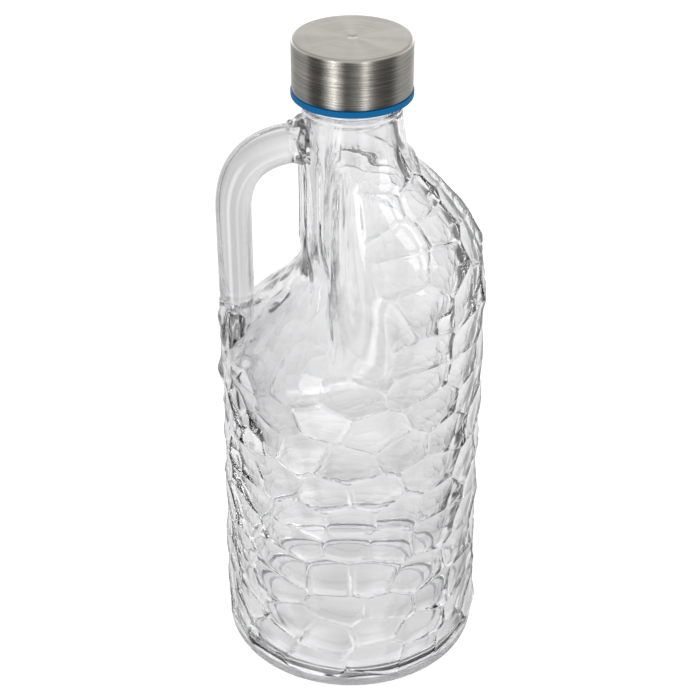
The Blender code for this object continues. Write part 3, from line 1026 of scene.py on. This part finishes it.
# The soft light over the steel, by direction round, and its share by height.
STEEL_OVERHEAD = [
    (-180, 0.88), (-173, 0.66), (-160, 0.50), (-150, 0.78), (-142, 0.54), (-110, 0.66), (-60, 0.72),
    (0, 0.90), (60, 0.72), (110, 0.72), (138, 0.54), (150, 0.74), (160, 0.48), (173, 0.68), (180, 0.88),
]
STEEL_SKY = [(-90, 0.0), (8, 0.0), (28, 1.0), (90, 1.0)]
# How much brighter the steel's panels are near the horizon.
STEEL_RIM = [(-90, 1.0), (-14, 1.0), (-4, 3.8), (12, 3.8), (22, 1.0), (90, 1.0)]
# What the glass mirrors round the horizon, and the shares of the light above and the white table below.
GLOSS_PANELS = [
    (-180, 0.85), (-104, 0.85), (-94, 0.10), (-84, 0.10), (-76, 0.80), (-60, 0.80), (-52, 0.20),
    (-38, 2.8), (-28, 2.8), (-16, 0.2), (12, 0.3), (23, 1.8), (42, 0.2), (62, 0.75), (74, 0.75),
    (82, 0.10), (94, 0.10), (106, 0.85), (180, 0.85),
]
GLOSS_SKY = [(-90, 0.0), (2, 0.0), (16, 1.0), (90, 1.0)]
GLOSS_OVERHEAD = 1.1
GLOSS_GROUND = [(-90, 1.0), (-52, 1.0), (-38, 0.0), (90, 0.0)]
GLOSS_GROUND_BRIGHTNESS = 0.25
# What shows through the glass by height, and how that varies round the jug.
THROUGH_RISE = [
    (-90, 0.66), (-70, 0.66), (-61, 0.80), (-54, 0.92), (-48, 0.66), (-43, 0.63), (-38, 0.745),
    (-33, 0.80), (-28, 0.855), (-20, 0.93), (-8, 0.96), (5, 0.94), (20, 0.75), (90, 0.66),
]
THROUGH_ROUND = [
    (-180, 1.0), (-170, 1.0), (-160, 1.03), (-144, 1.06), (-118, 1.12), (-60, 1.08), (48, 1.0),
    (60, 1.08), (118, 1.12), (144, 1.06), (160, 1.03), (170, 1.0), (180, 1.0),
]
# Dark panels beside the jug, high ones and low ones: where they stand, and how much of the light they take.
THROUGH_FLAGS = [
    (-180, 0.0), (-60, 0.0), (-53, 1.0), (-37, 1.0), (-30, 0.0), (108, 0.0), (114, 1.0), (139, 1.0),
    (146, 0.0), (180, 0.0),
]
THROUGH_LOW_FLAGS = [
    (-180, 0.0), (-141, 0.0), (-137, 1.0), (-130, 1.0), (-126, 0.0), (35, 0.0), (39, 1.0), (50, 1.0),
    (54, 0.0), (121, 0.0), (125, 1.0), (133, 1.0), (137, 0.0), (180, 0.0),
]
LOW_FLAG_RISE = [(-90, 0.0), (-58, 0.0), (-48, 1.0), (-33, 1.0), (-27, 0.0), (90, 0.0)]
FLAG_RISE = [(-90, 0.0), (-38, 0.0), (-31, 1.0), (5, 1.0), (20, 0.0), (90, 0.0)]
FLAG_DEPTH = 0.92


def build_world():
    """White to the camera; to glass and gloss, a studio of panels that depends only on direction."""
    world = bpy.data.worlds.new("studio")
    bpy.context.scene.world = world
    world.use_nodes = True
    tree = world.node_tree
    tree.nodes.clear()
    turned_round = node(
        tree,
        "ShaderNodeVectorRotate",
        Vector=tree.nodes.new("ShaderNodeTexCoord").outputs["Generated"],
        Angle=-CAMERA_TURN,
    )
    turned_round.rotation_type = "Z_AXIS"
    x, y, z = parts_of(tree, turned_round.outputs[0])
    to_degrees = 180 / math.pi
    toward = combined(tree, "MULTIPLY", y, -1.0)
    angle = combined(tree, "MULTIPLY", combined(tree, "ARCTAN2", x, toward), to_degrees)
    rise = combined(tree, "MULTIPLY", combined(tree, "ARCSINE", z), to_degrees)

    def by_angle(stops):
        return ramp(tree, angle, 180, stops)

    def by_rise(stops):
        return ramp(tree, rise, 90, stops)

    gloss = mixed(tree, by_rise(GLOSS_GROUND), by_angle(GLOSS_PANELS), GLOSS_GROUND_BRIGHTNESS)
    gloss = mixed(tree, by_rise(GLOSS_SKY), gloss, GLOSS_OVERHEAD)
    brushed = combined(tree, "MULTIPLY", by_angle(STEEL_PANELS), by_rise(STEEL_RIM))
    brushed = mixed(tree, by_rise(STEEL_SKY), brushed, by_angle(STEEL_OVERHEAD))

    high_flags = combined(tree, "MULTIPLY", by_angle(THROUGH_FLAGS), by_rise(FLAG_RISE))
    low_flags = combined(tree, "MULTIPLY", by_angle(THROUGH_LOW_FLAGS), by_rise(LOW_FLAG_RISE))
    taken = combined(tree, "MULTIPLY", combined(tree, "MAXIMUM", high_flags, low_flags), FLAG_DEPTH)
    through = combined(tree, "MULTIPLY", by_rise(THROUGH_RISE), by_angle(THROUGH_ROUND))
    through = combined(tree, "MULTIPLY", through, combined(tree, "SUBTRACT", 1.0, taken))

    path = tree.nodes.new("ShaderNodeLightPath")
    mirrored = mixed(tree, path.outputs["Is Singular Ray"], brushed, gloss)
    seen = mixed(tree, path.outputs["Is Glossy Ray"], DIFFUSE_BRIGHTNESS, mirrored)
    seen = mixed(tree, path.outputs["Is Transmission Ray"], seen, through)
    seen = mixed(tree, path.outputs["Is Camera Ray"], seen, BACKDROP_BRIGHTNESS)
    background = node(tree, "ShaderNodeBackground", Color=(1, 1, 1, 1), Strength=seen)
    node(tree, "ShaderNodeOutputWorld", Surface=background.outputs[0])


def area_light(name, location, aim, size, power):
    data = bpy.data.lights.new(name, "AREA")
    data.shape = "RECTANGLE"
    data.size, data.size_y = size
    data.energy = power
    light = bpy.data.objects.new(name, data)
    bpy.context.scene.collection.objects.link(light)
    light.location = location
    light.rotation_euler = (Vector(aim) - Vector(location)).to_track_quat("-Z", "Y").to_euler()
    light.visible_camera = False
    light.visible_glossy = False


def build_lights():
    area_light("key", (-0.55, -0.45, 0.85), (0, 0, 0.15), (0.35, 0.6), 2)
    area_light("fill", (0.7, -0.35, 0.7), (0, 0, 0.15), (0.35, 0.6), 1.5)


def main():
    build_glass(glass_material())
    build_shell(steel_material())
    build_liner(plastic_material())
    build_seal(silicone_material())
    build_camera()
    build_floor()
    build_world()
    build_lights()
    scene = bpy.context.scene
    scene.view_settings.view_transform = "Standard"
    scene.cycles.max_bounces = ALL_BOUNCES
    scene.cycles.glossy_bounces = GLASS_BOUNCES
    scene.cycles.transmission_bounces = GLASS_BOUNCES


main()
